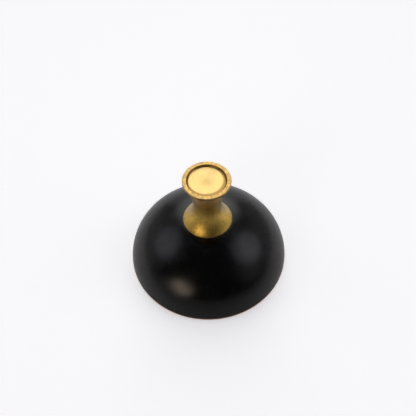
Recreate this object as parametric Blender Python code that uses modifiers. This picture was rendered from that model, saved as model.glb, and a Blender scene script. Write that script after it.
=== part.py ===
"""Table hand bell: a black dome on its open lip, a waisted brass grip and a swinging clapper.

Units are metres and +Z is up. The bell's axis is Z, and the origin is the centre of the plane
that the lip stands on. A hanger bolt goes up through the crown into the grip and clamps the
dome between two washers. Its forked lower end carries the clapper on a cross pin along Y.
"""

import math

import bpy

MM = 0.001

# Dome: an ellipse of revolution, cut flat at the crown where the grip sits.
DOME_RADIUS = 42.0 * MM
DOME_HEIGHT = 31.9 * MM
DOME_WALL = 2.0 * MM
CROWN_MARGIN = 0.8 * MM
LIP_CHAMFER = 0.5 * MM
SOUND_BOW_EXTRA = 1.0 * MM
SOUND_BOW_HEIGHT = 11.0 * MM

# Grip: a spool with a dished top, on a broad foot.
GRIP_HEIGHT = 31.0 * MM
GRIP_FOOT_RADIUS = 12.5 * MM
GRIP_WAIST_RADIUS = 7.2 * MM
GRIP_WAIST_RISE = 14.0 * MM
GRIP_TOP_RADIUS = 11.75 * MM
GRIP_BAND = 0.8 * MM
GRIP_EDGE = 0.35 * MM
DISH_RIM = 2.25 * MM
DISH_DEPTH = 1.3 * MM
DISH_FILLET = 0.5 * MM

# Washers: each one reaches a margin past, or inside, what it seats against.
FOOT_RIM = 2.6 * MM
CROWN_WASHER_THICKNESS = 1.2 * MM
INNER_WASHER_MARGIN = 0.8 * MM
INNER_WASHER_THICKNESS = 0.6 * MM

# Hanger bolt and its fork.
BOLT_RADIUS = 3.0 * MM
BOLT_GRIP_LENGTH = 13.0 * MM
BOLT_CHAMFER = 0.5 * MM
FLANGE_REACH = 3.6 * MM
FLANGE_THICKNESS = 1.3 * MM
EAR_THICKNESS = 1.7 * MM
EAR_MARGIN = 0.4 * MM

# Clapper and its cross pin.
PIN_RADIUS = 0.9 * MM
PIN_HEAD_REACH = 0.7 * MM
PIN_HEAD_THICKNESS = 0.6 * MM
EYE_WALL = 1.1 * MM
EYE_THICKNESS = 2.0 * MM
ROD_RADIUS = 1.5 * MM
ROD_SHOWING = 4.55 * MM
ROD_IN_BALL = 6.0 * MM
BALL_LIFT = 2.0 * MM

# Clearances between pieces.
SEAT_GAP = 0.3 * MM
PIN_FIT = 0.15 * MM
SWING_GAP = 0.2 * MM
SIDE_GAP = 0.3 * MM
EYE_HEADROOM = 0.4 * MM
DRILL_POINT = 1.5 * MM
BLIND_END = 1.0 * MM

# How finely the round surfaces are divided.
DOME_STEPS = 64
GRIP_STEPS = 48
SMALL_STEPS = 32
DOME_CURVE_POINTS = 14
FLARE_POINTS = 11
BALL_CURVE_POINTS = 15
EDGE_POINTS = 2
SMOOTH_ANGLE = math.radians(35.0)


def ellipse_height(radius, half_width, half_height):
    """Height of an upright ellipse at a distance from its axis."""
    return half_height * math.sqrt(1.0 - (radius / half_width) ** 2)


# Radii that follow from the sizes above.
HOLE_RADIUS = BOLT_RADIUS + SEAT_GAP
FLANGE_RADIUS = BOLT_RADIUS + FLANGE_REACH
INNER_WASHER_RADIUS = FLANGE_RADIUS + INNER_WASHER_MARGIN
FOOT_RECESS_RADIUS = GRIP_FOOT_RADIUS - FOOT_RIM
CROWN_WASHER_RADIUS = FOOT_RECESS_RADIUS - SEAT_GAP
DISH_RADIUS = GRIP_TOP_RADIUS - DISH_RIM
PIN_HEAD_RADIUS = PIN_RADIUS + PIN_HEAD_REACH
EYE_HOLE_RADIUS = PIN_RADIUS + SWING_GAP
EYE_RADIUS = EYE_HOLE_RADIUS + EYE_WALL
EAR_RADIUS = EYE_RADIUS + EAR_MARGIN
SLOT_WIDTH = EYE_THICKNESS + 2.0 * SIDE_GAP
FORK_WIDTH = SLOT_WIDTH + 2.0 * EAR_THICKNESS

# Heights that follow. The ball fills what is left between the showing rod and its lift.
CROWN_RADIUS = GRIP_FOOT_RADIUS + CROWN_MARGIN
CROWN_Z = ellipse_height(CROWN_RADIUS, DOME_RADIUS, DOME_HEIGHT)
CROWN_UNDERSIDE_Z = CROWN_Z - DOME_WALL
GRIP_FOOT_Z = CROWN_Z + SEAT_GAP
GRIP_TOP_Z = GRIP_FOOT_Z + GRIP_HEIGHT
GRIP_WAIST_Z = GRIP_FOOT_Z + GRIP_WAIST_RISE
CROWN_WASHER_TOP_Z = GRIP_FOOT_Z + CROWN_WASHER_THICKNESS
INNER_WASHER_TOP_Z = CROWN_UNDERSIDE_Z - SEAT_GAP
INNER_WASHER_Z = INNER_WASHER_TOP_Z - INNER_WASHER_THICKNESS
FLANGE_TOP_Z = INNER_WASHER_Z - SEAT_GAP
FLANGE_Z = FLANGE_TOP_Z - FLANGE_THICKNESS
BOLT_TOP_Z = GRIP_FOOT_Z + BOLT_GRIP_LENGTH
PIVOT_Z = FLANGE_Z - EYE_HEADROOM - EYE_RADIUS
FORK_Z = PIVOT_Z - EAR_RADIUS
BALL_RADIUS = (FORK_Z - ROD_SHOWING - BALL_LIFT) / 2.0
BALL_Z = BALL_LIFT + BALL_RADIUS


def clear_scene():
    """Remove every object that the file opened with."""
    for scene_object in list(bpy.data.objects):
        bpy.data.objects.remove(scene_object, do_unlink=True)


def new_collection(name):
    """Make a collection in the scene."""
    collection = bpy.data.collections.new(name)
    bpy.context.scene.collection.children.link(collection)
    return collection


def make_material(name, colour, roughness, metallic):
    """A Principled material with one colour."""
    material = bpy.data.materials.new(name)
    material.use_nodes = True
    shader = material.node_tree.nodes["Principled BSDF"]
    shader.inputs["Base Color"].default_value = (*colour, 1.0)
    shader.inputs["Roughness"].default_value = roughness
    shader.inputs["Metallic"].default_value = metallic
    return material


def arc(centre, radius, start, end, count):
    """Points along an arc in the profile plane, both ends included; angles in degrees."""
    points = []
    for index in range(count + 1):
        angle = math.radians(start + (end - start) * index / count)
        points.append((centre[0] + radius * math.cos(angle), centre[1] + radius * math.sin(angle)))
    return points


def turned(name, profile, steps, closed, collection, material=None):
    """Turn a profile of (radius, height) points about the object's Z axis."""
    mesh = bpy.data.meshes.new(name)
    edges = [(index, index + 1) for index in range(len(profile) - 1)]
    if closed:
        edges.append((len(profile) - 1, 0))
    mesh.from_pydata([(radius, 0.0, height) for radius, height in profile], edges, [])
    piece = bpy.data.objects.new(name, mesh)
    collection.objects.link(piece)
    screw = piece.modifiers.new("Turn", "SCREW")
    screw.axis = "Z"
    screw.angle = math.tau
    screw.steps = steps
    screw.render_steps = steps
    screw.use_merge_vertices = True
    screw.merge_threshold = 0.00001
    screw.use_smooth_shade = True
    if material:
        mesh.materials.append(material)
    return piece


def primitive(name, collection):
    """Name the primitive that was just added and move it to a collection."""
    piece = bpy.context.object
    piece.name = name
    piece.data.name = name
    for holder in list(piece.users_collection):
        holder.objects.unlink(piece)
    collection.objects.link(piece)
    return piece


def block(name, size, centre, collection):
    """A box of a given size."""
    bpy.ops.mesh.primitive_cube_add(size=1.0, location=centre)
    piece = primitive(name, collection)
    for vertex in piece.data.vertices:
        vertex.co.x *= size[0]
        vertex.co.y *= size[1]
        vertex.co.z *= size[2]
    return piece


def cross_cylinder(name, radius, length, centre, collection):
    """A cylinder that lies along Y."""
    bpy.ops.mesh.primitive_cylinder_add(
        vertices=SMALL_STEPS,
        radius=radius,
        depth=length,
        location=centre,
        rotation=(math.pi / 2.0, 0.0, 0.0),
    )
    return primitive(name, collection)


def upright_cylinder(name, radius, bottom, top, collection):
    """A cylinder about the Z axis between two heights."""
    bpy.ops.mesh.primitive_cylinder_add(
        vertices=SMALL_STEPS,
        radius=radius,
        depth=top - bottom,
        location=(0.0, 0.0, (top + bottom) / 2.0),
    )
    return primitive(name, collection)


def combine(piece, operation, other):
    """Cut or join a piece with a helper shape, which is hidden."""
    boolean = piece.modifiers.new(other.name, "BOOLEAN")
    boolean.operation = operation
    boolean.solver = "EXACT"
    boolean.object = other
    other.hide_render = True
    other.display_type = "WIRE"


def smooth(piece):
    """Shade a meshed piece smooth, with its corners kept sharp."""
    piece.data.shade_smooth()
    piece.data.set_sharp_from_angle(angle=SMOOTH_ANGLE)


def dome_outside():
    """The outer curve, from the crown land down to the lip."""
    top_angle = math.acos(CROWN_RADIUS / DOME_RADIUS)
    lip_angle = math.asin(LIP_CHAMFER / DOME_HEIGHT)
    points = []
    for index in range(DOME_CURVE_POINTS + 1):
        share = index / DOME_CURVE_POINTS
        angle = top_angle + (lip_angle - top_angle) * share
        points.append((DOME_RADIUS * math.cos(angle), DOME_HEIGHT * math.sin(angle)))
    return points


def sound_bow(height):
    """Extra wall thickness near the lip, fading out smoothly upwards."""
    share = min(max(height / SOUND_BOW_HEIGHT, 0.0), 1.0)
    return SOUND_BOW_EXTRA * (1.0 - share) ** 2 * (1.0 + 2.0 * share)


def dome_inside():
    """The inner curve, from the lip up to the flat under the crown."""
    inner_radius = DOME_RADIUS - DOME_WALL
    inner_height = DOME_HEIGHT - DOME_WALL
    lip_angle = math.asin(LIP_CHAMFER / inner_height)
    top_angle = math.asin(CROWN_UNDERSIDE_Z / inner_height)
    points = []
    for index in range(DOME_CURVE_POINTS + 1):
        share = index / DOME_CURVE_POINTS
        angle = lip_angle + (top_angle - lip_angle) * share
        height = inner_height * math.sin(angle)
        points.append((inner_radius * math.cos(angle) - sound_bow(height), height))
    return points


def make_dome(parts, black):
    """The bell's shell: flat crown with a hole, thickened lip standing on its flat edge."""
    outside = dome_outside()
    inside = dome_inside()
    lip_outer = outside[-1][0] - LIP_CHAMFER
    lip_inner = inside[0][0] + LIP_CHAMFER
    profile = [(HOLE_RADIUS, CROWN_Z)]
    profile += outside
    profile += [(lip_outer, 0.0), (lip_inner, 0.0)]
    profile += inside
    profile += [(HOLE_RADIUS, CROWN_UNDERSIDE_Z)]
    return turned("bell_dome", profile, DOME_STEPS, True, parts, black)


def flare(end_radius, end_z, count):
    """Arc from the waist out to an end of the grip, upright at the waist."""
    reach = end_radius - GRIP_WAIST_RADIUS
    rise = end_z - GRIP_WAIST_Z
    bend = (reach**2 + rise**2) / (2.0 * reach)
    sweep = math.asin(rise / bend)
    points = []
    for index in range(count + 1):
        angle = sweep * index / count
        radius = GRIP_WAIST_RADIUS + bend * (1.0 - math.cos(angle))
        points.append((radius, GRIP_WAIST_Z + bend * math.sin(angle)))
    return points


def grip_top():
    """The dished end: floor, fillet, wall, rim face and the rounded outer edge."""
    floor_z = GRIP_TOP_Z - DISH_DEPTH
    rim_outer = GRIP_TOP_RADIUS - GRIP_EDGE
    points = [(0.0, floor_z)]
    points += arc((DISH_RADIUS - DISH_FILLET, floor_z + DISH_FILLET), DISH_FILLET, -90, 0, EDGE_POINTS)
    points += arc((DISH_RADIUS + GRIP_EDGE, GRIP_TOP_Z - GRIP_EDGE), GRIP_EDGE, 180, 90, EDGE_POINTS)
    points += arc((rim_outer, GRIP_TOP_Z - GRIP_EDGE), GRIP_EDGE, 90, 0, EDGE_POINTS)
    return points


def grip_side():
    """The waisted side, from the top band down to the foot band."""
    upper = flare(GRIP_TOP_RADIUS, GRIP_TOP_Z - GRIP_EDGE - GRIP_BAND, FLARE_POINTS)
    lower = flare(GRIP_FOOT_RADIUS, GRIP_FOOT_Z + GRIP_EDGE + GRIP_BAND, FLARE_POINTS)
    return upper[::-1] + lower[1:]


def grip_underside():
    """The foot's lower edge, the washer recess and the blind hole for the bolt."""
    recess_z = CROWN_WASHER_TOP_Z + SEAT_GAP
    hole_top = BOLT_TOP_Z + BLIND_END
    points = arc((GRIP_FOOT_RADIUS - GRIP_EDGE, GRIP_FOOT_Z + GRIP_EDGE), GRIP_EDGE, 0, -90, EDGE_POINTS)
    points += [(FOOT_RECESS_RADIUS, GRIP_FOOT_Z), (FOOT_RECESS_RADIUS, recess_z)]
    points += [(HOLE_RADIUS, recess_z)]
    points += [(HOLE_RADIUS, hole_top), (0.0, hole_top + DRILL_POINT)]
    return points


def make_grip(parts, brass):
    """The one-piece brass grip."""
    profile = grip_top() + grip_side() + grip_underside()
    return turned("grip", profile, GRIP_STEPS, False, parts, brass)


def make_washer(name, radius, bottom, top, parts, material):
    """A flat ring with the bolt's clearance hole."""
    profile = [(HOLE_RADIUS, top), (radius, top), (radius, bottom), (HOLE_RADIUS, bottom)]
    return turned(name, profile, SMALL_STEPS, True, parts, material)


def make_hanger_bolt(parts, cutters, steel):
    """Bolt with a round flange and a forked end that holds the clapper's pin."""
    profile = [
        (0.0, BOLT_TOP_Z),
        (BOLT_RADIUS - BOLT_CHAMFER, BOLT_TOP_Z),
        (BOLT_RADIUS, BOLT_TOP_Z - BOLT_CHAMFER),
        (BOLT_RADIUS, FLANGE_TOP_Z),
        (FLANGE_RADIUS, FLANGE_TOP_Z),
        (FLANGE_RADIUS, FLANGE_Z),
        (0.0, FLANGE_Z),
    ]
    bolt = turned("hanger_bolt", profile, SMALL_STEPS, False, parts, steel)
    block_top = FLANGE_Z + FLANGE_THICKNESS / 2.0
    block_size = (2.0 * EAR_RADIUS, FORK_WIDTH, block_top - PIVOT_Z)
    block_centre = (0.0, 0.0, (block_top + PIVOT_Z) / 2.0)
    combine(bolt, "UNION", block("fork_block", block_size, block_centre, cutters))
    pivot = (0.0, 0.0, PIVOT_Z)
    combine(bolt, "UNION", cross_cylinder("fork_round", EAR_RADIUS, FORK_WIDTH, pivot, cutters))
    slot_bottom = PIVOT_Z - 2.0 * EAR_RADIUS
    slot_size = (4.0 * EAR_RADIUS, SLOT_WIDTH, FLANGE_Z - slot_bottom)
    slot_centre = (0.0, 0.0, (FLANGE_Z + slot_bottom) / 2.0)
    combine(bolt, "DIFFERENCE", block("fork_slot", slot_size, slot_centre, cutters))
    hole_radius = PIN_RADIUS + PIN_FIT
    combine(bolt, "DIFFERENCE", cross_cylinder("fork_hole", hole_radius, 2.0 * FORK_WIDTH, pivot, cutters))
    return bolt


def make_clapper_pin(parts, steel):
    """Riveted cross pin with a head outside each ear of the fork."""
    inner_face = FORK_WIDTH / 2.0 + SEAT_GAP
    outer_face = inner_face + PIN_HEAD_THICKNESS
    rim = PIN_HEAD_THICKNESS / 3.0
    profile = [
        (0.0, outer_face),
        (PIN_HEAD_RADIUS - rim, outer_face),
        (PIN_HEAD_RADIUS, outer_face - rim),
        (PIN_HEAD_RADIUS, inner_face),
        (PIN_RADIUS, inner_face),
    ]
    profile += [(radius, -height) for radius, height in reversed(profile)]
    pin = turned("clapper_pin", profile, SMALL_STEPS, False, parts, steel)
    pin.location = (0.0, 0.0, PIVOT_Z)
    pin.rotation_euler = (math.pi / 2.0, 0.0, 0.0)
    return pin


def make_clapper_rod(parts, cutters, steel):
    """Rod with a flat eye at the top, drawn about the pivot and threaded into the ball."""
    shoulder = EAR_RADIUS + SIDE_GAP + EYE_HEADROOM
    rod_bottom = BALL_Z - PIVOT_Z + BALL_RADIUS - ROD_IN_BALL
    rod = cross_cylinder("clapper_rod", EYE_RADIUS, EYE_THICKNESS, (0.0, 0.0, 0.0), parts)
    rod.data.materials.append(steel)
    tongue_size = (2.0 * ROD_RADIUS, EYE_THICKNESS, shoulder + ROD_RADIUS)
    tongue = block("rod_tongue", tongue_size, (0.0, 0.0, -tongue_size[2] / 2.0), cutters)
    shank = upright_cylinder("rod_shank", ROD_RADIUS, rod_bottom, -shoulder, cutters)
    hole = cross_cylinder("rod_hole", EYE_HOLE_RADIUS, 2.0 * EYE_THICKNESS, (0.0, 0.0, 0.0), cutters)
    combine(rod, "UNION", tongue)
    combine(rod, "UNION", shank)
    combine(rod, "DIFFERENCE", hole)
    smooth(rod)
    return rod, [tongue, shank, hole]


def make_clapper_ball(parts, brass):
    """Ball with a blind hole that takes the rod's end, drawn about the pivot."""
    centre = BALL_Z - PIVOT_Z
    hole_radius = ROD_RADIUS + SEAT_GAP
    hole_bottom = centre + BALL_RADIUS - ROD_IN_BALL - SEAT_GAP
    mouth = math.degrees(math.acos(hole_radius / BALL_RADIUS))
    profile = [(0.0, hole_bottom), (hole_radius, hole_bottom)]
    profile += arc((0.0, centre), BALL_RADIUS, mouth, -90, BALL_CURVE_POINTS)
    profile[-1] = (0.0, centre - BALL_RADIUS)
    return turned("clapper_ball", profile, SMALL_STEPS, False, parts, brass)


def hang_on_pivot(parts, pieces):
    """Parent the clapper's pieces, drawn about the pivot, to an empty on the pin's axis."""
    pivot = bpy.data.objects.new("clapper_pivot", None)
    pivot.empty_display_size = EAR_RADIUS
    pivot.location = (0.0, 0.0, PIVOT_Z)
    parts.objects.link(pivot)
    for piece in pieces:
        piece.parent = pivot


def build():
    """Model the bell."""
    clear_scene()
    parts = new_collection("table_bell")
    cutters = new_collection("cutters")
    black = make_material("black_enamel", (0.012, 0.011, 0.011), 0.32, 0.0)
    brass = make_material("cast_brass", (0.62, 0.43, 0.16), 0.38, 1.0)
    steel = make_material("plain_steel", (0.48, 0.47, 0.45), 0.35, 1.0)
    leather = make_material("washer_leather", (0.09, 0.05, 0.03), 0.8, 0.0)
    make_dome(parts, black)
    make_grip(parts, brass)
    make_washer("crown_washer", CROWN_WASHER_RADIUS, GRIP_FOOT_Z, CROWN_WASHER_TOP_Z, parts, leather)
    make_washer("inner_washer", INNER_WASHER_RADIUS, INNER_WASHER_Z, INNER_WASHER_TOP_Z, parts, leather)
    make_hanger_bolt(parts, cutters, steel)
    make_clapper_pin(parts, steel)
    rod, rod_helpers = make_clapper_rod(parts, cutters, steel)
    ball = make_clapper_ball(parts, brass)
    hang_on_pivot(parts, [rod, ball] + rod_helpers)


build()
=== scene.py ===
"""Table hand bell: black enamelled dome, cast brass grip and a clapper on a forked bolt.

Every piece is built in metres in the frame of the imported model: the bell stands on its lip at
height 0 and its axis is Z. Pieces take their places from the boxes of the nodes they replace.
"""

from __future__ import annotations

import logging
import math
from dataclasses import dataclass
from enum import Enum

import bpy
from mathutils import Matrix, Vector


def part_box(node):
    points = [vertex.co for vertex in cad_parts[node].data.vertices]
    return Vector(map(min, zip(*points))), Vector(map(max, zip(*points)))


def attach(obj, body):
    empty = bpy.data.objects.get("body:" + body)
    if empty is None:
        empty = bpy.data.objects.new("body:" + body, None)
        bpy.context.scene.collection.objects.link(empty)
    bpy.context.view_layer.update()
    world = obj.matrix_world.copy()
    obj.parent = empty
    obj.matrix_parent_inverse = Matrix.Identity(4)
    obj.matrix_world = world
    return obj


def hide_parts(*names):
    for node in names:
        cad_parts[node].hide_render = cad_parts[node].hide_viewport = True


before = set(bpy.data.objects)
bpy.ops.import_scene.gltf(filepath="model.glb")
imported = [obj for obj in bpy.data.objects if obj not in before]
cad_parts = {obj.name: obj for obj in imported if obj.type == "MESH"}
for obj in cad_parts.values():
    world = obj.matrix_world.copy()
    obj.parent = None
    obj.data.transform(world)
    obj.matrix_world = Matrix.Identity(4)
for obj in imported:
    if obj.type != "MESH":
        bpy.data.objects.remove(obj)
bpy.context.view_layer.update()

Colour = tuple[float, float, float]
Point = tuple[float, float]
Profile = list[Point]

MM = 0.001
SEED = 0.02 * MM
WELD = 0.0004 * MM
SMOOTH_ANGLE = math.radians(32.0)

log = logging.getLogger("table_hand_bell")


class Body(Enum):
    """The two moving bodies of the bell."""

    BELL = "bell"
    CLAPPER = "clapper"


class Slot(Enum):
    """The finishes that the record names."""

    ENAMEL = "black_enamel"
    GRIP_BRASS = "cast_brass"
    BALL_BRASS = "turned_brass"
    STEEL = "plain_steel"
    LEATHER = "washer_leather"


class Lay(Enum):
    """Which way a grain runs on a turned piece."""

    UP = "up the side"
    ROUND = "round the axis"
    LOOSE = "no direction"


# ---------------------------------------------------------------------------------------------
# Materials
# ---------------------------------------------------------------------------------------------


class Sheet:
    """A material's node sheet, with short calls for the nodes that the finishes share."""

    def __init__(self, name: str) -> None:
        """Start a material with one Principled shader.

        Args:
            name: the material's name.
        """
        self.material = bpy.data.materials.new(name)
        self.material.use_nodes = True
        self.tree = self.material.node_tree
        self.shader = self.tree.nodes["Principled BSDF"]
        self.place = self.add("ShaderNodeTexCoord").outputs["Object"]

    def add(self, kind: str, **settings: object) -> bpy.types.Node:
        """Add a node and set its options.

        Args:
            kind: the node's type name.
            settings: attributes to set on it.

        Returns:
            The node.
        """
        node = self.tree.nodes.new(kind)
        for name, value in settings.items():
            setattr(node, name, value)
        return node

    def feed(self, socket: bpy.types.NodeSocket, source: object) -> None:
        """Link a socket to an output, or give it a plain value."""
        if isinstance(source, bpy.types.NodeSocket):
            self.tree.links.new(source, socket)
        else:
            socket.default_value = source

    def work_out(self, operation: str, first: object, second: object = 0.0) -> bpy.types.NodeSocket:
        """One Math node.

        Args:
            operation: the node's operation.
            first: a number or an output.
            second: a number or an output.

        Returns:
            The result's socket.
        """
        node = self.add("ShaderNodeMath", operation=operation)
        self.feed(node.inputs[0], first)
        self.feed(node.inputs[1], second)
        return node.outputs[0]

    def vector(self, operation: str, first: object, second: object = None) -> bpy.types.NodeSocket:
        """One Vector Math node.

        Args:
            operation: the node's operation.
            first: a vector or an output.
            second: a vector or an output, if the operation takes one.

        Returns:
            The result's socket, a number for LENGTH and DOT_PRODUCT.
        """
        node = self.add("ShaderNodeVectorMath", operation=operation)
        self.feed(node.inputs[0], first)
        if second is not None:
            self.feed(node.inputs[1], second)
        return node.outputs["Value" if operation in ("LENGTH", "DOT_PRODUCT") else "Vector"]

    def axes(self) -> tuple[bpy.types.NodeSocket, bpy.types.NodeSocket]:
        """Distance from the upright axis, and height.

        Returns:
            The two sockets, in metres.
        """
        flat = self.vector("MULTIPLY", self.place, (1.0, 1.0, 0.0))
        split = self.add("ShaderNodeSeparateXYZ")
        self.feed(split.inputs[0], self.place)
        return self.vector("LENGTH", flat), split.outputs["Z"]

    def grain(self, lay: Lay, across: float, along: float) -> bpy.types.NodeSocket:
        """Coordinates that stretch a pattern one way over a turned piece.

        Args:
            lay: the way the pattern runs.
            across: how many cells fit in a metre, or in a radian round the axis, across it.
            along: how many cells fit along it.

        Returns:
            The vector socket.
        """
        if lay is Lay.LOOSE:
            return self.vector("MULTIPLY", self.place, (across, across, along))
        flat = self.vector("MULTIPLY", self.place, (1.0, 1.0, 0.0))
        around = self.vector("NORMALIZE", flat)
        if lay is Lay.UP:
            turned = self.vector("MULTIPLY", around, (across, across, 0.0))
            raised = self.vector("MULTIPLY", self.place, (0.0, 0.0, along))
            return self.vector("ADD", turned, raised)
        radius, height = self.axes()
        rings = self.add("ShaderNodeCombineXYZ")
        self.feed(rings.inputs["X"], self.work_out("MULTIPLY", radius, across))
        self.feed(rings.inputs["Z"], self.work_out("MULTIPLY", height, across))
        return self.vector("ADD", rings.outputs[0], self.vector("MULTIPLY", around, (0.0, along, along)))

    def noise(self, place: object, scale: float, detail: float, rough: float = 0.5) -> bpy.types.NodeSocket:
        """Cloudy noise from 0 to 1.

        Args:
            place: the coordinates.
            scale: cells per unit.
            detail: octaves.
            rough: how strong each octave is.

        Returns:
            The value's socket.
        """
        node = self.add("ShaderNodeTexNoise")
        self.feed(node.inputs["Vector"], place)
        node.inputs["Scale"].default_value = scale
        node.inputs["Detail"].default_value = detail
        node.inputs["Roughness"].default_value = rough
        return node.outputs[0]

    def cells(self, scale: float, uneven: float = 1.0) -> bpy.types.NodeSocket:
        """Distance to the nearest of many scattered points.

        Args:
            scale: points per metre.
            uneven: how far they stray from a grid.

        Returns:
            The distance's socket.
        """
        node = self.add("ShaderNodeTexVoronoi")
        self.feed(node.inputs["Vector"], self.place)
        node.inputs["Scale"].default_value = scale
        node.inputs["Randomness"].default_value = uneven
        return node.outputs["Distance"]

    def ramp(
        self, value: object, low: float, high: float, start: float = 0.0, end: float = 1.0
    ) -> bpy.types.NodeSocket:
        """A soft step.

        Args:
            value: what is measured.
            low: where the step begins.
            high: where it ends.
            start: the result before it.
            end: the result after it.

        Returns:
            The result's socket.
        """
        node = self.add("ShaderNodeMapRange", interpolation_type="SMOOTHSTEP")
        names = ("Value", "From Min", "From Max", "To Min", "To Max")
        for name, source in zip(names, (value, low, high, start, end)):
            self.feed(node.inputs[name], source)
        return node.outputs[0]

    def blend(
        self, share: object, first: object, second: object, way: str = "MIX"
    ) -> bpy.types.NodeSocket:
        """Mix two colours.

        Args:
            share: how much of the second shows.
            first: a colour or an output.
            second: a colour or an output.
            way: the node's blend type.

        Returns:
            The colour's socket.
        """
        node = self.add("ShaderNodeMix", data_type="RGBA", blend_type=way)
        self.feed(node.inputs[0], share)
        self.feed(node.inputs[6], paint(first))
        self.feed(node.inputs[7], paint(second))
        return node.outputs[2]

    def relief(self, height: object, depth: float, below: object = None) -> bpy.types.NodeSocket:
        """Bump from a height pattern.

        Args:
            height: the pattern, from 0 to 1.
            depth: how deep it is, in metres.
            below: the normal of a coarser bump under it.

        Returns:
            The normal's socket.
        """
        node = self.add("ShaderNodeBump")
        node.inputs["Strength"].default_value = 1.0
        node.inputs["Distance"].default_value = depth
        self.feed(node.inputs["Height"], height)
        if below is not None:
            self.feed(node.inputs["Normal"], below)
        return node.outputs[0]

    def finish(self, **sockets: object) -> bpy.types.Material:
        """Feed the shader's sockets.

        Args:
            sockets: names with underscores for spaces, and their sources.

        Returns:
            The finished material.
        """
        for name, source in sockets.items():
            self.feed(self.shader.inputs[name.replace("_", " ")], paint(source))
        return self.material


class WallSheet(Sheet):
    """The node sheet of the studio's walls."""

    def __init__(self, name: str) -> None:
        """Start a world and hang it in the scene.

        Args:
            name: the world's name.
        """
        world = bpy.data.worlds.new(name)
        world.use_nodes = True
        bpy.context.scene.world = world
        self.tree = world.node_tree
        self.place = self.add("ShaderNodeTexCoord").outputs["Generated"]


def paint(source: object) -> object:
    """A plain colour with its alpha, or anything else as it is."""
    return (*source, 1.0) if isinstance(source, tuple) and len(source) == 3 else source


@dataclass(frozen=True)
class BlackEnamel:
    """Satin black enamel over brass, rubbed through along the lip."""

    body: Colour = (0.0007, 0.0006, 0.0006)
    dust: Colour = (0.0022, 0.0020, 0.0019)
    bare: Colour = (0.76, 0.45, 0.28)
    coat_index: float = 1.50
    gloss: float = 0.22
    dull: float = 0.28
    lip_height: float = 1.45 * MM
    lip_ragged: float = 0.35 * MM
    lip_fade: float = 0.22 * MM
    peel_depth: float = 0.004 * MM

    def make(self) -> bpy.types.Material:
        """Build the material."""
        sheet = Sheet("black_enamel_coat")
        _, height = sheet.axes()
        cloud = sheet.noise(sheet.place, 160.0, 4.0)
        peel = sheet.noise(sheet.place, 1400.0, 2.0)
        specks = sheet.ramp(sheet.cells(900.0), 0.05, 0.16, 1.0, 0.0)
        ragged = sheet.noise(sheet.place, 900.0, 3.0)
        edge = sheet.work_out("ADD", height, sheet.work_out("MULTIPLY", ragged, -self.lip_ragged))
        worn = sheet.ramp(edge, self.lip_height - self.lip_fade, self.lip_height, 1.0, 0.0)
        coat = sheet.blend(sheet.work_out("MULTIPLY", specks, 0.5), self.body, self.dust)
        colour = sheet.blend(worn, coat, self.bare)
        rough = sheet.ramp(cloud, 0.35, 0.65, self.gloss, self.dull)
        return sheet.finish(
            Base_Color=colour,
            Metallic=worn,
            Roughness=rough,
            IOR=self.coat_index,
            Normal=sheet.relief(peel, self.peel_depth),
        )


@dataclass(frozen=True)
class BareInside:
    """Dull brass inside the dome, with the tool's rings still in it."""

    metal: Colour = (0.42, 0.29, 0.12)
    stain: Colour = (0.13, 0.085, 0.045)
    ring_depth: float = 0.02 * MM

    def make(self) -> bpy.types.Material:
        """Build the material."""
        sheet = Sheet("bare_brass_inside")
        cloud = sheet.noise(sheet.place, 110.0, 6.0, 0.6)
        rings = sheet.noise(sheet.grain(Lay.ROUND, 1700.0, 1.5), 1.0, 3.0)
        share = sheet.work_out("ADD", sheet.ramp(cloud, 0.40, 0.68), sheet.ramp(rings, 0.45, 0.80, 0.0, 0.35))
        return sheet.finish(
            Base_Color=sheet.blend(sheet.work_out("MINIMUM", share, 1.0), self.metal, self.stain),
            Metallic=sheet.ramp(cloud, 0.35, 0.75, 0.95, 0.75),
            Roughness=sheet.ramp(cloud, 0.30, 0.70, 0.42, 0.66),
            Normal=sheet.relief(rings, self.ring_depth),
        )


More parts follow.
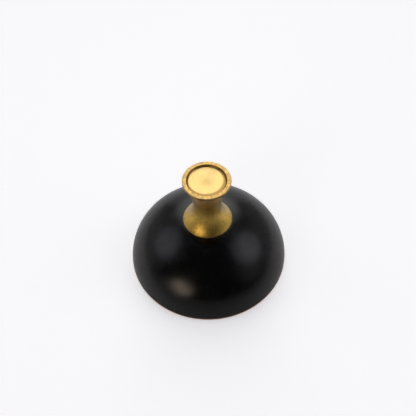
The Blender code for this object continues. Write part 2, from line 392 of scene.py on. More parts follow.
@dataclass(frozen=True)
class CastBrass:
    """Aged cast brass: turned on the end, rubbed up and down the waist, with small pits."""

    metal: Colour = (1.0, 0.655, 0.14)
    # colour of the painted sheen on the waist at a slant, and tint of the shader's sheen
    painted_sheen_and_sheen_tint: Colour = (1.0, 0.80, 0.54)
    pale: Colour = (0.82, 0.59, 0.225)
    rim: Colour = (0.44, 0.28, 0.11)
    brim_metal: Colour = (0.90, 0.60, 0.17)
    # brown: stains on the waist, and the painted shade in the dish's corner
    brown: Colour = (0.33, 0.19, 0.050)
    # dark: dirt in the casting pits, and the painted shade at the foot
    dark: Colour = (0.13, 0.065, 0.018)
    streak_depth: float = 0.045 * MM
    ring_depth: float = 0.010 * MM
    pit_depth: float = 0.050 * MM
    end_height: float = 60.0 * MM
    end_fade: float = 0.4 * MM
    foot_height: float = 33.2 * MM
    foot_fade: float = 2.2 * MM
    sheen_low: float = 37.0 * MM
    sheen_high: float = 45.0 * MM
    dish_radius: float = 9.5 * MM
    dish_edge: float = 0.2 * MM
    stain_core: float = 2.5 * MM
    stain_reach: float = 8.0 * MM
    stain_wander: float = 6.0 * MM
    # painted shade in the dish's corner: where it starts and is full inside the dish, the way it leans, and
    # where it stops up the wall
    corner_shade_start: float = 1.7 * MM
    corner_shade_full: float = 0.8 * MM
    corner_shade_lean: tuple[float, float, float] = (0.05, -0.11, 0.0)
    corner_shade_stop: tuple[float, float] = (0.1 * MM, 0.5 * MM)

    def make(self) -> bpy.types.Material:
        """Build the material."""
        sheet = Sheet("cast_brass_aged")
        radius, height = sheet.axes()
        end = sheet.ramp(height, self.end_height - self.end_fade, self.end_height)
        cloud = sheet.noise(sheet.place, 230.0, 5.0, 0.6)
        fine = sheet.noise(sheet.place, 2600.0, 3.0, 0.6)
        streaks = sheet.noise(sheet.grain(Lay.UP, 150.0, 420.0), 1.0, 6.0, 0.75)
        rings = sheet.noise(sheet.grain(Lay.ROUND, 2600.0, 2.0), 1.0, 2.0)
        holes = self.holes(sheet)
        # painted shade: the waist darkens slightly towards the foot, where the grip meets the dome
        low = sheet.ramp(height, self.foot_height - self.foot_fade, self.foot_height, 0.10, 0.0)
        side = sheet.blend(low, self.side(sheet, cloud, streaks), self.dark)
        skin = sheet.blend(end, side, self.face(sheet, radius, cloud))
        skin = sheet.blend(sheet.work_out("MULTIPLY", holes, 0.8), skin, self.dark)
        gloss = sheet.ramp(streaks, 0.3, 0.7, 0.26, 0.38)
        grain = sheet.add("ShaderNodeMix", data_type="VECTOR")
        sheet.feed(grain.inputs[0], end)
        sheet.feed(grain.inputs[4], sheet.relief(streaks, self.streak_depth))
        sheet.feed(grain.inputs[5], sheet.relief(rings, self.ring_depth))
        solid = sheet.work_out("SUBTRACT", 1.0, holes)
        return sheet.finish(
            Base_Color=skin,
            Metallic=sheet.ramp(cloud, 0.3, 0.7, 1.0, 0.90),
            Roughness=sheet.work_out("ADD", gloss, sheet.work_out("MULTIPLY", fine, 0.08)),
            Sheen_Weight=sheet.ramp(height, self.sheen_low, self.sheen_high, 0.36, 0.08),
            Sheen_Roughness=0.45,
            Sheen_Tint=self.painted_sheen_and_sheen_tint,
            Normal=sheet.relief(solid, self.pit_depth, grain.outputs[1]),
        )

    def holes(self, sheet: Sheet) -> bpy.types.NodeSocket:
        """Casting pits in a few scattered patches.

        Args:
            sheet: the material's sheet.

        Returns:
            The pits' socket, 1 in a pit.
        """
        pits = sheet.ramp(sheet.cells(1500.0), 0.10, 0.30, 0.0, 1.0)
        few = sheet.ramp(sheet.noise(sheet.place, 420.0, 2.0), 0.52, 0.66)
        return sheet.work_out("MULTIPLY", sheet.work_out("SUBTRACT", 1.0, pits), few)

    def side(self, sheet: Sheet, cloud: object, streaks: object) -> bpy.types.NodeSocket:
        """The waist's colour: streaked, stained, and turned pale by a painted sheen where it is seen at a
        slant.

        Args:
            sheet: the material's sheet.
            cloud: the cloudy noise.
            streaks: the noise along the waist.

        Returns:
            The colour's socket.
        """
        tone = sheet.blend(sheet.ramp(cloud, 0.42, 0.74, 0.0, 0.35), self.metal, self.brown)
        tone = sheet.blend(sheet.ramp(streaks, 0.48, 0.62, 0.0, 0.50), tone, self.brown)
        spots = sheet.noise(sheet.place, 640.0, 6.0, 0.75)
        tone = sheet.blend(sheet.ramp(spots, 0.57, 0.66, 0.0, 0.80), tone, self.brown)
        # painted sheen: the waist's colour turns pale where the surface is seen at a slant
        slant = sheet.add("ShaderNodeLayerWeight")
        slant.inputs["Blend"].default_value = 0.5
        return sheet.blend(sheet.ramp(slant.outputs["Facing"], 0.50, 0.92, 0.0, 0.9), tone, self.painted_sheen_and_sheen_tint)

    def face(self, sheet: Sheet, radius: object, cloud: object) -> bpy.types.NodeSocket:
        """The end's colour: stained floor, painted shade in the dish's corner and scuffed brim.

        Args:
            sheet: the material's sheet.
            radius: the distance from the axis.
            cloud: the cloudy noise.

        Returns:
            The colour's socket.
        """
        wander = sheet.work_out("ADD", radius, sheet.work_out("MULTIPLY", cloud, self.stain_wander))
        middle = sheet.ramp(wander, self.stain_core, self.stain_reach, 0.45, 0.0)
        mottle = sheet.work_out("ADD", middle, sheet.ramp(cloud, 0.50, 0.74, 0.0, 0.25))
        floor = sheet.blend(mottle, self.pale, self.rim)
        scuffs = sheet.noise(sheet.grain(Lay.LOOSE, 700.0, 700.0), 1.0, 4.0, 0.7)
        brim = sheet.blend(sheet.ramp(scuffs, 0.36, 0.62, 0.0, 0.62), self.rim, self.brim_metal)
        outside = sheet.ramp(radius, self.dish_radius, self.dish_radius + self.dish_edge)
        # painted shade in the dish's corner, wider towards the near side and the right, fading out up the
        # dish's wall
        leaning = sheet.work_out("ADD", radius, sheet.vector("DOT_PRODUCT", sheet.place, self.corner_shade_lean))
        starts, full = self.dish_radius - self.corner_shade_start, self.dish_radius - self.corner_shade_full
        corner = sheet.ramp(leaning, starts, full)
        shade_fade_from, gone = (self.dish_radius + step for step in self.corner_shade_stop)
        corner = sheet.work_out("MULTIPLY", corner, sheet.ramp(radius, shade_fade_from, gone, 0.85, 0.0))
        return sheet.blend(corner, sheet.blend(outside, floor, brim), self.brown)


@dataclass(frozen=True)
class TurnedBrass:
    """The ball's brass: rings from the lathe, small dents and cloudy tarnish."""

    metal: Colour = (0.72, 0.50, 0.20)
    tarnish: Colour = (0.30, 0.19, 0.08)
    ring_depth: float = 0.008 * MM
    dent_depth: float = 0.02 * MM

    def make(self) -> bpy.types.Material:
        """Build the material."""
        sheet = Sheet("turned_brass_ball")
        cloud = sheet.noise(sheet.place, 260.0, 5.0, 0.6)
        rings = sheet.noise(sheet.grain(Lay.ROUND, 2400.0, 1.0), 1.0, 2.0)
        dents = sheet.ramp(sheet.cells(420.0), 0.05, 0.30)
        normal = sheet.relief(dents, self.dent_depth, sheet.relief(rings, self.ring_depth))
        return sheet.finish(
            Base_Color=sheet.blend(sheet.ramp(cloud, 0.38, 0.72), self.metal, self.tarnish),
            Metallic=1.0,
            Roughness=sheet.ramp(cloud, 0.30, 0.70, 0.24, 0.42),
            Normal=normal,
        )


@dataclass(frozen=True)
class FiledSteel:
    """Plain steel with file marks and a little brown in cloudy patches."""

    metal: Colour = (0.50, 0.49, 0.47)
    brown: Colour = (0.17, 0.12, 0.085)
    mark_depth: float = 0.012 * MM

    def make(self) -> bpy.types.Material:
        """Build the material."""
        sheet = Sheet("filed_steel")
        cloud = sheet.noise(sheet.place, 500.0, 5.0, 0.65)
        marks = sheet.noise(sheet.grain(Lay.LOOSE, 900.0, 7000.0), 1.0, 3.0, 0.6)
        return sheet.finish(
            Base_Color=sheet.blend(sheet.ramp(cloud, 0.50, 0.72), self.metal, self.brown),
            Metallic=sheet.ramp(cloud, 0.55, 0.80, 1.0, 0.75),
            Roughness=sheet.ramp(marks, 0.30, 0.70, 0.30, 0.46),
            Normal=sheet.relief(marks, self.mark_depth),
        )


@dataclass(frozen=True)
class WasherLeather:
    """Pressed brown leather with a fine grain."""

    hide: Colour = (0.080, 0.042, 0.022)
    crease: Colour = (0.026, 0.014, 0.008)
    grain_depth: float = 0.05 * MM

    def make(self) -> bpy.types.Material:
        """Build the material."""
        sheet = Sheet("washer_hide")
        creases = sheet.ramp(sheet.cells(1300.0), 0.15, 0.55, 1.0, 0.0)
        cloud = sheet.noise(sheet.place, 300.0, 4.0)
        share = sheet.work_out("MULTIPLY", creases, cloud)
        return sheet.finish(
            Base_Color=sheet.blend(share, self.hide, self.crease),
            Roughness=sheet.ramp(cloud, 0.30, 0.70, 0.62, 0.84),
            Normal=sheet.relief(creases, self.grain_depth),
        )


# ---------------------------------------------------------------------------------------------
# Workbench
# ---------------------------------------------------------------------------------------------


def clear_bench() -> None:
    """Leave edit mode with nothing selected."""
    if bpy.context.object and bpy.context.object.mode != "OBJECT":
        bpy.ops.object.mode_set(mode="OBJECT")
    bpy.ops.object.select_all(action="DESELECT")


def pick(piece: bpy.types.Object) -> None:
    """Select one piece and make it the active one."""
    clear_bench()
    piece.select_set(True)
    bpy.context.view_layer.objects.active = piece


def settle(name: str) -> bpy.types.Object:
    """Name the primitive that was just added and put its place into its mesh.

    Args:
        name: the piece's name.

    Returns:
        The piece.
    """
    bpy.ops.object.transform_apply(location=True, rotation=True, scale=True)
    piece = bpy.context.object
    piece.name = name
    piece.data.name = name
    return piece


def arc(centre: Point, radius: float, start: float, end: float, count: int) -> Profile:
    """Points along an arc of a section.

    Args:
        centre: its centre.
        radius: its radius.
        start: the first angle, in degrees.
        end: the last angle, in degrees.
        count: how many steps it has.

    Returns:
        The points, both ends included.
    """
    turns = [math.radians(start + (end - start) * index / count) for index in range(count + 1)]
    return [(centre[0] + radius * math.cos(turn), centre[1] + radius * math.sin(turn)) for turn in turns]


def line(start: Point, end: Point, count: int) -> Profile:
    """Points along a straight stretch of a section, without its first.

    Args:
        start: where it begins.
        end: where it ends.
        count: how many steps it has.

    Returns:
        The points after the first.
    """
    shares = [(index + 1) / count for index in range(count)]
    return [(start[0] + (end[0] - start[0]) * t, start[1] + (end[1] - start[1]) * t) for t in shares]


def node_corners(node: str) -> tuple[Vector, Vector]:
    """The lowest and highest corner of a node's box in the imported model."""
    low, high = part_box(node)
    return Vector(low), Vector(high)


def turn(name: str, section: Profile, steps: int) -> bpy.types.Object:
    """Draw half a section point by point, spin it about the upright axis and close it.

    Args:
        name: the piece's name.
        section: its points, as distance from the axis and height.
        steps: how many times the section is repeated round the axis.

    Returns:
        The turned piece.
    """
    clear_bench()
    bpy.ops.mesh.primitive_plane_add(size=SEED, location=(section[0][0], 0.0, section[0][1]))
    piece = settle(name)
    bpy.ops.object.mode_set(mode="EDIT")
    bpy.ops.mesh.select_mode(type="VERT")
    bpy.ops.mesh.select_all(action="SELECT")
    bpy.ops.mesh.merge(type="CENTER")
    for (radius, height), (next_radius, next_height) in zip(section, section[1:]):
        step = (next_radius - radius, 0.0, next_height - height)
        bpy.ops.mesh.extrude_region_move(TRANSFORM_OT_translate={"value": step})
    bpy.ops.mesh.select_all(action="SELECT")
    bpy.ops.mesh.spin(steps=steps, angle=math.tau, center=(0.0, 0.0, 0.0), axis=(0.0, 0.0, 1.0))
    weld(piece)
    return piece


def weld(piece: bpy.types.Object) -> None:
    """Merge doubles, face everything outwards and leave edit mode."""
    if bpy.context.object.mode != "EDIT":
        pick(piece)
        bpy.ops.object.mode_set(mode="EDIT")
    bpy.ops.mesh.select_all(action="SELECT")
    bpy.ops.mesh.remove_doubles(threshold=WELD)
    bpy.ops.mesh.normals_make_consistent(inside=False)
    bpy.ops.object.mode_set(mode="OBJECT")


def apply_modifier(piece: bpy.types.Object, kind: str, **settings: object) -> None:
    """Add a modifier, set it and apply it.

    Args:
        piece: the piece.
        kind: the modifier's type.
        settings: attributes to set on it.
    """
    pick(piece)
    bpy.ops.object.modifier_add(type=kind)
    modifier = piece.modifiers[-1]
    for name, value in settings.items():
        setattr(modifier, name, value)
    bpy.ops.object.modifier_apply(modifier=modifier.name)


def soften(piece: bpy.types.Object, width: float, segments: int = 2) -> None:
    """Round a piece's corners.

    Args:
        piece: the piece.
        width: how far the rounding reaches.
        segments: how many faces it has.
    """
    apply_modifier(
        piece,
        "BEVEL",
        width=width,
        segments=segments,
        limit_method="ANGLE",
        angle_limit=SMOOTH_ANGLE,
        use_clamp_overlap=True,
        harden_normals=False,
    )


def roughen(piece: bpy.types.Object, cell: float, depth: float) -> None:
    """Sink a piece's surface unevenly, never outwards.

    Args:
        piece: the piece.
        cell: the size of the unevenness.
        depth: how deep it goes.
    """
    texture = bpy.data.textures.new(f"{piece.name}_clouds", "CLOUDS")
    texture.noise_scale = cell
    apply_modifier(
        piece, "DISPLACE", texture=texture, texture_coords="LOCAL", mid_level=1.0, strength=depth
    )


def carve(piece: bpy.types.Object, operation: str, other: bpy.types.Object) -> None:
    """Join a helper shape to a piece or cut it away, and discard the helper.

    Args:
        piece: the piece that stays.
        operation: the Boolean operation.
        other: the helper.
    """
    apply_modifier(piece, "BOOLEAN", operation=operation, solver="EXACT", object=other)
    bpy.data.objects.remove(other, do_unlink=True)


def smooth(piece: bpy.types.Object) -> None:
    """Shade a piece smooth with its corners kept."""
    pick(piece)
    bpy.ops.object.shade_smooth_by_angle(angle=SMOOTH_ANGLE)


def lay_along_y(piece: bpy.types.Object, height: float) -> None:
    """Turn a piece drawn about Z onto the Y axis and lift it.

    Args:
        piece: the piece.
        height: the height of its axis.
    """
    lift = Matrix.Translation((0.0, 0.0, height))
    piece.data.transform(lift @ Matrix.Rotation(math.pi / 2.0, 4, "X"))
    weld(piece)


def drill(name: str, radius: float, length: float, height: float) -> bpy.types.Object:
    """A round cutter along Y.

    Args:
        name: its name.
        radius: its radius.
        length: its length.
        height: the height of its axis.

    Returns:
        The cutter.
    """
    clear_bench()
    sideways = (math.pi / 2.0, 0.0, 0.0)
    bpy.ops.mesh.primitive_cylinder_add(
        vertices=96, radius=radius, depth=length, location=(0.0, 0.0, height), rotation=sideways
    )
    return settle(name)


def hand_over(
    piece: bpy.types.Object, node: str, body: Body, slot: Slot, *finishes: bpy.types.Material
) -> None:
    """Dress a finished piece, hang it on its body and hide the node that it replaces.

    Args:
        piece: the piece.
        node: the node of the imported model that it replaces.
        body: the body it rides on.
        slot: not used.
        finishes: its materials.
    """
    smooth(piece)
    for finish in finishes:
        piece.data.materials.append(finish)
    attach(piece, body.value)
    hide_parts(node)
    count = len(piece.data.polygons)
    if not count:
        raise ValueError(f"{piece.name} has no faces")
    log.info("%s: %d faces on %s", piece.name, count, body.value)


# ---------------------------------------------------------------------------------------------
# The bell
# ---------------------------------------------------------------------------------------------


@dataclass
class Dome:
    """The enamelled shell, standing on its flat lip."""

    radius: float = 42.0 * MM
    height: float = 31.9 * MM
    wall: float = 2.0 * MM
    seat_radius: float = 12.5 * MM
    lip_band: float = 0.60 * MM
    paint_line: float = 0.6
    ceiling_slope: float = -0.3
    hole_radius: float = 3.3 * MM
    lip_chamfer: float = 0.5 * MM
    corner: float = 0.12 * MM
    wave: Point = (9.0 * MM, 0.03 * MM)
    bow_extra: float = 1.0 * MM
    bow_height: float = 11.0 * MM
    steps: int = 256
    curve: int = 56

    def outside(self) -> Profile:
        """The outer curve, from the seat under the grip's foot down to the lip."""
        top = math.acos(self.seat_radius / self.radius)
        low = math.asin(self.lip_chamfer / self.height)
        turns = [top + (low - top) * index / self.curve for index in range(self.curve + 1)]
        return [(self.radius * math.cos(turn), self.height * math.sin(turn)) for turn in turns]

    def inside(self, ceiling: float) -> Profile:
        """The inner curve, from the lip up to the flat under the crown.

        Args:
            ceiling: the height of that flat.

        Returns:
            The points.
        """
        half_width, half_height = self.radius - self.wall, self.height - self.wall
        low = math.asin(self.lip_chamfer / half_height)
        top = math.asin(ceiling / half_height)
        points = []
        for index in range(self.curve + 1):
            turn = low + (top - low) * index / self.curve
            height = half_height * math.sin(turn)
            share = min(height / self.bow_height, 1.0)
            bow = self.bow_extra * (1.0 - share) ** 2 * (1.0 + 2.0 * share)
            points.append((half_width * math.cos(turn) - bow, height))
        return points

    def build(self) -> None:
        """Turn the shell and dress it."""
        low, high = node_corners("bell_dome")
        outside = self.outside()
        inside = self.inside(high.z - self.wall)
        hole_top = (self.hole_radius, outside[0][1])
        section = [hole_top] + line(hole_top, outside[0], 4) + outside[1:]
        section += [(outside[-1][0] - self.lip_chamfer, low.z)]
        section += [(inside[0][0] + self.lip_chamfer, low.z), *inside]
        section += line(inside[-1], (self.hole_radius, high.z - self.wall), 4) + [hole_top]
        shell = turn("enamelled_dome", section, self.steps)
        soften(shell, self.corner)
        roughen(shell, *self.wave)
        hand_over(shell, "bell_dome", Body.BELL, Slot.ENAMEL, BlackEnamel().make(), BareInside().make())
        self.bare_inside(shell)

    def bare_inside(self, shell: bpy.types.Object) -> None:
        """Give the faces inside the shell the bare metal.

        Args:
            shell: the dome.
        """
        width, rise = (size - self.paint_line * self.wall for size in (self.radius, self.height))
        for face in shell.data.polygons:
            centre = Vector(face.center)
            share = min(math.hypot(centre.x, centre.y) / width, 1.0)
            surface = rise * math.sqrt(1.0 - share**2)
            faces_axis = centre.x * face.normal.x + centre.y * face.normal.y < 0.0
            if self.lip_band < centre.z < surface and (faces_axis or face.normal.z < self.ceiling_slope):
                face.material_index = 1


@dataclass
class Grip:
    """The waisted brass grip with its dished end."""

    foot_radius: float = 12.5 * MM
    waist_radius: float = 7.2 * MM
    waist_rise: float = 14.0 * MM
    top_radius: float = 11.75 * MM
    band: float = 0.8 * MM
    edge: float = 0.35 * MM
    dish_radius: float = 9.5 * MM
    dish_depth: float = 1.3 * MM
    dish_fillet: float = 0.85 * MM
    brink: float = 0.30 * MM
    recess_radius: float = 9.9 * MM
    recess_depth: float = 1.5 * MM
    hole_radius: float = 3.3 * MM
    hole_depth: float = 14.0 * MM
    drill_point: float = 1.5 * MM
    swell: Point = (3.5 * MM, 0.06 * MM)
    graze: Point = (0.9 * MM, 0.018 * MM)
    steps: int = 256
    curve: int = 36

    def flare(self, end_radius: float, end_height: float, waist: float) -> Profile:
        """Arc from the waist out to one end, upright at the waist.

        Args:
            end_radius: the radius it reaches.
            end_height: the height it reaches.
            waist: the waist's height.

        Returns:
            The points, waist first.
        """
        reach, rise = end_radius - self.waist_radius, end_height - waist
        bend = (reach**2 + rise**2) / (2.0 * reach)
        sweep = math.asin(rise / bend)
        turns = [sweep * index / self.curve for index in range(self.curve + 1)]
        return [(self.waist_radius + bend * (1.0 - math.cos(t)), waist + bend * math.sin(t)) for t in turns]

    def build(self) -> None:
        """Turn the grip, sink its casting marks and dress it."""
        low, high = node_corners("grip")
        waist = low.z + self.waist_rise
        floor = high.z - self.dish_depth
        shoulder = high.z - self.edge
        fillet, brink = self.dish_fillet, self.brink
        section = [(0.0, floor)] + line((0.0, floor), (self.dish_radius - fillet, floor), 30)
        section += arc((self.dish_radius - fillet, floor + fillet), fillet, -90, 0, 8)[1:]
        section += arc((self.dish_radius + brink, high.z - brink), brink, 180, 90, 6)
        section += line(section[-1], (self.top_radius - self.edge, high.z), 6)
        section += arc((self.top_radius - self.edge, shoulder), self.edge, 90, 0, 6)[1:]
        section += self.flare(self.top_radius, shoulder - self.band, waist)[::-1]
        section += self.flare(self.foot_radius, low.z + self.edge + self.band, waist)[1:]
        section += arc((self.foot_radius - self.edge, low.z + self.edge), self.edge, 0, -90, 6)
        recess = low.z + self.recess_depth
        section += [(self.recess_radius, low.z), (self.recess_radius, recess), (self.hole_radius, recess)]
        deep = low.z + self.hole_depth
        section += [(self.hole_radius, deep), (0.0, deep + self.drill_point)]
        grip = turn("brass_grip", section, self.steps)
        roughen(grip, *self.swell)
        roughen(grip, *self.graze)
        hand_over(grip, "grip", Body.BELL, Slot.GRIP_BRASS, CastBrass().make())


@dataclass
class Hanger:
    """The forked bolt, its two leather washers and the clapper's pin."""

    bolt_radius: float = 3.0 * MM
    bolt_chamfer: float = 0.5 * MM
    flange_radius: float = 6.6 * MM
    flange_low: float = 25.758 * MM
    flange_high: float = 27.058 * MM
    ear_thickness: float = 1.7 * MM
    slot_width: float = 2.6 * MM
    ear_radius: float = 2.6 * MM
    pin_radius: float = 0.9 * MM
    pin_fit: float = 0.15 * MM
    head_radius: float = 1.6 * MM
    head_thickness: float = 0.6 * MM
    washer_hole: float = 3.3 * MM
    washer_corner: float = 0.12 * MM
    washer_grain: Point = (1.2 * MM, 0.08 * MM)
    bolt_corner: float = 0.15 * MM
    ear_corner: float = 0.18 * MM
    ear_rounding: float = 0.999
    drill_length: float = 12.0 * MM
    steps: int = 128

    def build(self) -> None:
        """Build the four pieces."""
        steel = FiledSteel().make()
        hide = WasherLeather().make()
        self.washer("crown_leather", "crown_washer", hide)
        self.washer("inner_leather", "inner_washer", hide)
        self.bolt(steel)
        self.pin(steel)

    def washer(self, name: str, node: str, hide: bpy.types.Material) -> None:
        """Turn one leather washer.

        Args:
            name: the piece's name.
            node: the node that it replaces.
            hide: its material.
        """
        low, high = node_corners(node)
        corners = [(self.washer_hole, low.z), (high.x, low.z), (high.x, high.z), (self.washer_hole, high.z)]
        section = corners[:1]
        for start, end, count in zip(corners, corners[1:] + corners[:1], (8, 2, 8, 2)):
            section += line(start, end, count)
        ring = turn(name, section, self.steps)
        soften(ring, self.washer_corner)
        roughen(ring, *self.washer_grain)
        hand_over(ring, node, Body.BELL, Slot.LEATHER, hide)

    def ear(self, name: str, side: float, pivot: float, top: float) -> bpy.types.Object:
        """One ear of the fork: a block whose lower end is rounded about the pin.

        Args:
            name: its name.
            side: +1 or -1, the side of the slot it stands on.
            pivot: the pin's height.
            top: the height it reaches into the flange.

        Returns:
            The ear.
        """
        bottom = pivot - self.ear_radius
        middle = side * (self.slot_width + self.ear_thickness) / 2.0
        clear_bench()
        bpy.ops.mesh.primitive_cube_add(
            size=1.0,
            location=(0.0, middle, (top + bottom) / 2.0),
            scale=(2.0 * self.ear_radius, self.ear_thickness, top - bottom),
        )
        ear = settle(name)
        bpy.ops.object.mode_set(mode="EDIT")
        bpy.ops.mesh.select_all(action="DESELECT")
        bpy.ops.object.mode_set(mode="OBJECT")
        for edge in ear.data.edges:
            first, second = (ear.data.vertices[index].co for index in edge.vertices)
            at_bottom = max(abs(first.z - bottom), abs(second.z - bottom)) < SEED
            edge.select = at_bottom and abs(first.x - second.x) < SEED
        bpy.ops.object.mode_set(mode="EDIT")
        bpy.ops.mesh.select_mode(type="EDGE")
        bpy.ops.mesh.bevel(offset=self.ear_radius * self.ear_rounding, segments=24, affect="EDGES")
        weld(ear)
        soften(ear, self.ear_corner)
        return ear

    def bolt(self, steel: bpy.types.Material) -> None:
        """Turn the shank and flange, join the ears and drill them."""
        _, high = node_corners("hanger_bolt")
        pivot = frame_joint_height()
        section = [(0.0, high.z), (self.bolt_radius - self.bolt_chamfer, high.z)]
        section += [(self.bolt_radius, high.z - self.bolt_chamfer), (self.bolt_radius, self.flange_high)]
        section += [(self.flange_radius, self.flange_high)]
        section += [(self.flange_radius, self.flange_low), (0.0, self.flange_low)]
        bolt = turn("forked_bolt", section, self.steps)
        soften(bolt, self.bolt_corner)
        top = (self.flange_low + self.flange_high) / 2.0
        for name, side in (("ear_front", -1.0), ("ear_back", 1.0)):
            carve(bolt, "UNION", self.ear(name, side, pivot, top))
        hole = drill("pin_hole", self.pin_radius + self.pin_fit, self.drill_length, pivot)
        carve(bolt, "DIFFERENCE", hole)
        hand_over(bolt, "hanger_bolt", Body.BELL, Slot.STEEL, steel)

    def pin(self, steel: bpy.types.Material) -> None:
        """Turn the riveted cross pin with its two domed heads."""
        _, high = node_corners("clapper_pin")
        outer, inner = high.y, high.y - self.head_thickness
        head = arc((0.0, inner), 1.0, 90, 0, 10)
        dome = [(x * self.head_radius, inner + (z - inner) * self.head_thickness) for x, z in head]
        half = dome + [(self.pin_radius, inner)]
        half += line((self.pin_radius, inner), (self.pin_radius, 0.0), 6)
        section = half + [(radius, -height) for radius, height in reversed(half[:-1])]
        section[0], section[-1] = (0.0, outer), (0.0, -outer)
        pin = turn("cross_pin", section, 64)
        lay_along_y(pin, frame_joint_height())
        hand_over(pin, "clapper_pin", Body.BELL, Slot.STEEL, steel)


@dataclass
class Clapper:
    """The rod with its eye, and the ball on it."""

    eye_radius: float = 2.2 * MM
    eye_hole: float = 1.1 * MM
    eye_thickness: float = 2.0 * MM
    eye_corner: float = 0.2 * MM
    eye_overlap: float = 0.3 * MM
    rod_radius: float = 1.5 * MM
    rod_chamfer: float = 0.25 * MM
    neck_taper: Point = (0.5 * MM, 0.4 * MM)
    shoulder: float = 3.3 * MM
    tongue_sink: float = 1.2 * MM
    tongue_inset: float = 0.1 * MM
    tongue_corner: float = 0.3 * MM
    ball_radius: float = 7.004 * MM
    socket_radius: float = 1.8 * MM
    socket_depth: float = 6.3 * MM
    mouth_corner: float = 0.12 * MM
    wear: Point = (2.5 * MM, 0.05 * MM)
    drill_length: float = 6.0 * MM
    rod_steps: int = 96
    ball_steps: int = 128

    def build(self) -> None:
        """Build the two pieces."""
        self.rod(FiledSteel().make())
        self.ball(TurnedBrass().make())

    def rod(self, steel: bpy.types.Material) -> None:
        """Turn the shank, flatten its top into a tongue and join the eye."""
        low, _ = node_corners("clapper_rod")
        pivot = frame_joint_height()
        neck = pivot - self.shoulder
        inwards, down = self.neck_taper
        section = [(0.0, low.z), (self.rod_radius - self.rod_chamfer, low.z)]
        section += [(self.rod_radius, low.z + self.rod_chamfer), (self.rod_radius, neck - down)]
        section += [(self.rod_radius - inwards, neck), (0.0, neck)]
        rod = turn("clapper_shank", section, self.rod_steps)
        clear_bench()
        width, length = 2.0 * (self.rod_radius - self.tongue_inset), pivot - neck + self.tongue_sink
        middle = (0.0, 0.0, (pivot + neck - self.tongue_sink) / 2.0)
        bpy.ops.mesh.primitive_cube_add(
            size=1.0, location=middle, scale=(width, self.eye_thickness, length)
        )
        tongue = settle("tongue")
        soften(tongue, self.tongue_corner, 3)
        half = self.eye_thickness / 2.0
        ring = [(self.eye_hole, -half), (self.eye_radius, -half)]
        ring += [(self.eye_radius, half), (self.eye_hole, half)]
        eye = turn("eye", [*ring, ring[0]], self.rod_steps)
        soften(eye, self.eye_corner, 3)
        lay_along_y(eye, pivot)
        carve(rod, "UNION", tongue)
        clear = drill("eye_clear", self.eye_radius - self.eye_overlap, self.drill_length, pivot)
        carve(rod, "DIFFERENCE", clear)
        carve(rod, "UNION", eye)
        hand_over(rod, "clapper_rod", Body.CLAPPER, Slot.STEEL, steel)

    def ball(self, brass: bpy.types.Material) -> None:
        """Turn the ball with the socket that takes the rod."""
        low, _ = node_corners("clapper_ball")
        centre = low.z + self.ball_radius
        floor = centre + self.ball_radius - self.socket_depth
        mouth = math.degrees(math.acos(self.socket_radius / self.ball_radius))
        section = [(0.0, floor), (self.socket_radius, floor)]
        section += arc((0.0, centre), self.ball_radius, mouth, -90, 64)
        section[-1] = (0.0, low.z)
        ball = turn("clapper_ball_brass", section, self.ball_steps)
        soften(ball, self.mouth_corner)
        roughen(ball, *self.wear)
        hand_over(ball, "clapper_ball", Body.CLAPPER, Slot.BALL_BRASS, brass)


def frame_joint_height() -> float:
    """The height of the clapper's pivot: the middle of its pin."""
    low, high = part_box("clapper_pin")
    return (low[2] + high[2]) / 2.0


# ---------------------------------------------------------------------------------------------
# Studio
# ---------------------------------------------------------------------------------------------


def heading(azimuth: float, elevation: float) -> Vector:
    """A unit vector.

    Args:
        azimuth: degrees from the back towards the right.
        elevation: degrees above the floor.

    Returns:
        The vector.
    """
    bearing, rise = math.radians(azimuth), math.radians(elevation)
    level = math.cos(rise)
    return Vector((math.sin(bearing) * level, math.cos(bearing) * level, math.sin(rise)))


@dataclass(frozen=True)
class Glow:
    """A soft round patch of light on the studio's walls; its angles are in degrees."""

    azimuth: float
    elevation: float
    inner: float
    outer: float
    strength: float
    tint: Colour = (1.0, 1.0, 1.0)


@dataclass(frozen=True)
class Softbox:
    """A square lamp that faces the bell."""

    name: str
    azimuth: float
    elevation: float
    distance: float
    size: float
    power: float
    tint: Colour = (1.0, 1.0, 1.0)

    def build(self) -> None:
        """Hang the lamp."""
        data = bpy.data.lights.new(self.name, "AREA")
        data.energy = self.power
        data.size = self.size
        data.color = self.tint
        lamp = bpy.data.objects.new(self.name, data)
        bpy.context.scene.collection.objects.link(lamp)
        place = heading(self.azimuth, self.elevation) * self.distance
        lamp.location = place
        lamp.rotation_euler = place.to_track_quat("Z", "Y").to_euler()


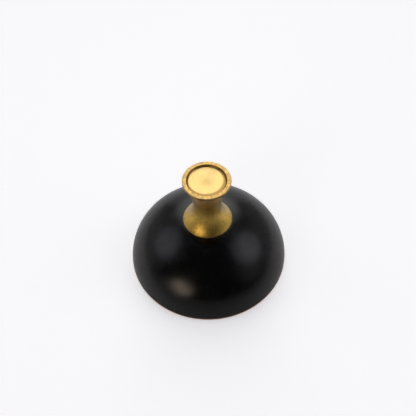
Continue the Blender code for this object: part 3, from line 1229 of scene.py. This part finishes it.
@dataclass
class Studio:
    """The pale floor, the lamps and the camera."""

    floor_radius: float = 1.6
    floor_tone: Colour = (0.90, 0.90, 0.91)
    painted_front_shade: Colour = (0.45, 0.45, 0.45)
    painted_bounce_glow: Colour = (0.15, 0.15, 0.15)
    front_shade_fade: Point = (-85.0 * MM, -20.0 * MM)
    bounce_glow_fade: Point = (-45.0 * MM, 20.0 * MM)
    floor_shade: Colour = (0.95, 0.95, 0.95)
    floor_glow: Colour = (0.50, 0.50, 0.515)
    ambient: float = 0.030
    backdrop: Colour = (0.94, 0.94, 0.955)
    camera_elevation: float = 52.8
    camera_roll: float = 0.026
    camera_distance: float = 0.3171
    aim: tuple[float, float, float] = (0.0003, 0.0191, 0.0145)
    lens: float = 49.33

    def glows(self) -> list[Glow]:
        """The soft patches round the bell."""
        return [
            Glow(0.0, 38.0, 18.0, 33.0, 1.65),
            Glow(0.0, 0.0, 18.0, 36.0, 0.50),
            Glow(-76.0, 38.0, 8.0, 25.0, 0.86, (0.97, 0.94, 1.05)),
            Glow(88.0, 41.0, 8.0, 26.0, 1.04, (0.97, 0.94, 1.05)),
            Glow(-66.0, 6.0, 20.0, 44.0, 0.26),
            Glow(66.0, 5.0, 20.0, 44.0, 0.24),
            Glow(110.0, 24.0, 8.0, 26.0, 0.22),
            Glow(-142.0, 15.5, 2.0, 18.0, 2.4, (1.0, 0.85, 0.66)),
            Glow(-134.0, 3.0, 8.0, 26.0, 0.34, (1.0, 0.92, 0.85)),
        ]

    def softboxes(self) -> list[Softbox]:
        """The lamps."""
        return [Softbox("top_lamp", 0.0, 76.0, 0.60, 0.14, 0.30)]

    def build(self) -> None:
        """Set the studio up."""
        self.lay_floor()
        self.light_walls()
        for softbox in self.softboxes():
            softbox.build()
        self.set_camera()
        bpy.context.scene.view_settings.view_transform = "Standard"

    def lay_floor(self) -> None:
        """A wide round floor: near white to the camera; to reflections, a toned sheet with painted shade
        towards the front and a painted glow towards the back.
        """
        clear_bench()
        bpy.ops.mesh.primitive_circle_add(vertices=96, radius=self.floor_radius, fill_type="NGON")
        floor = settle("studio_floor")
        sheet = Sheet("studio_paper")
        cloud = sheet.noise(sheet.place, 3.0, 2.0)
        pale = tuple(0.985 * tone for tone in self.floor_tone)
        paper = sheet.add("ShaderNodeBsdfDiffuse")
        across = sheet.vector("DOT_PRODUCT", sheet.place, (0.0, 1.0, 0.0))
        # painted shade: to reflections the floor darkens towards the front
        front = sheet.ramp(across, *self.front_shade_fade, 1.0, 0.0)
        tone = sheet.blend(front, sheet.blend(cloud, self.floor_tone, pale), self.painted_front_shade)
        sheet.feed(paper.inputs["Color"], tone)
        # painted glow: to reflections the floor gives off light, growing from just in front of the bell to
        # full behind it
        bounce = sheet.add("ShaderNodeEmission")
        bounce.inputs["Color"].default_value = (*self.painted_bounce_glow, 1.0)
        sheet.feed(bounce.inputs["Strength"], sheet.ramp(across, *self.bounce_glow_fade))
        lifted = sheet.add("ShaderNodeAddShader")
        sheet.feed(lifted.inputs[0], paper.outputs[0])
        sheet.feed(lifted.inputs[1], bounce.outputs[0])
        sheet.finish(
            Base_Color=self.floor_shade,
            Roughness=1.0,
            IOR=1.0,
            Emission_Color=self.floor_glow,
            Emission_Strength=1.0,
        )
        seen = sheet.add("ShaderNodeLightPath")
        either = sheet.add("ShaderNodeMixShader")
        sheet.feed(either.inputs[0], seen.outputs["Is Camera Ray"])
        sheet.feed(either.inputs[1], lifted.outputs[0])
        sheet.feed(either.inputs[2], sheet.shader.outputs[0])
        sheet.feed(sheet.tree.nodes["Material Output"].inputs["Surface"], either.outputs[0])
        floor.data.materials.append(sheet.material)

    def light_walls(self) -> None:
        """Paint the soft patches on the world, over a plain pale backdrop."""
        sheet = WallSheet("studio_walls")
        total = None
        for glow in self.glows():
            near = sheet.vector("DOT_PRODUCT", sheet.place, heading(glow.azimuth, glow.elevation))
            edge, core = (math.cos(math.radians(angle)) for angle in (glow.outer, glow.inner))
            light = tuple(glow.strength * part for part in glow.tint)
            colour = sheet.blend(sheet.ramp(near, edge, core), (self.ambient,) * 3, light)
            total = colour if total is None else sheet.blend(1.0, total, colour, "LIGHTEN")
        seen = sheet.add("ShaderNodeLightPath")
        plain = sheet.blend(seen.outputs["Is Camera Ray"], total, self.backdrop)
        sheet.feed(sheet.tree.nodes["Background"].inputs["Color"], plain)

    def set_camera(self) -> None:
        """Stand the camera in front of the bell, looking down on it."""
        data = bpy.data.cameras.new("camera")
        data.lens = self.lens
        camera = bpy.data.objects.new("camera", data)
        bpy.context.scene.collection.objects.link(camera)
        rise = math.radians(self.camera_elevation)
        right = Vector((1.0, 0.0, 0.0))
        up = Vector((0.0, math.sin(rise), math.cos(rise)))
        forward = Vector((0.0, math.cos(rise), -math.sin(rise)))
        cosine, sine = math.cos(self.camera_roll), math.sin(self.camera_roll)
        columns = (right * cosine - up * sine, right * sine + up * cosine, -forward)
        place = Vector(self.aim) - forward * self.camera_distance
        camera.matrix_world = Matrix.Translation(place) @ Matrix(columns).transposed().to_4x4()
        bpy.context.scene.camera = camera


def main() -> None:
    """Build the bell and its studio, and report each piece."""
    logging.basicConfig(level=logging.INFO, format="%(message)s")
    for assembly in (Dome(), Grip(), Hanger(), Clapper()):
        assembly.build()
        log.info("%s done", type(assembly).__name__)
    Studio().build()


if __name__ == "__main__":
    main()
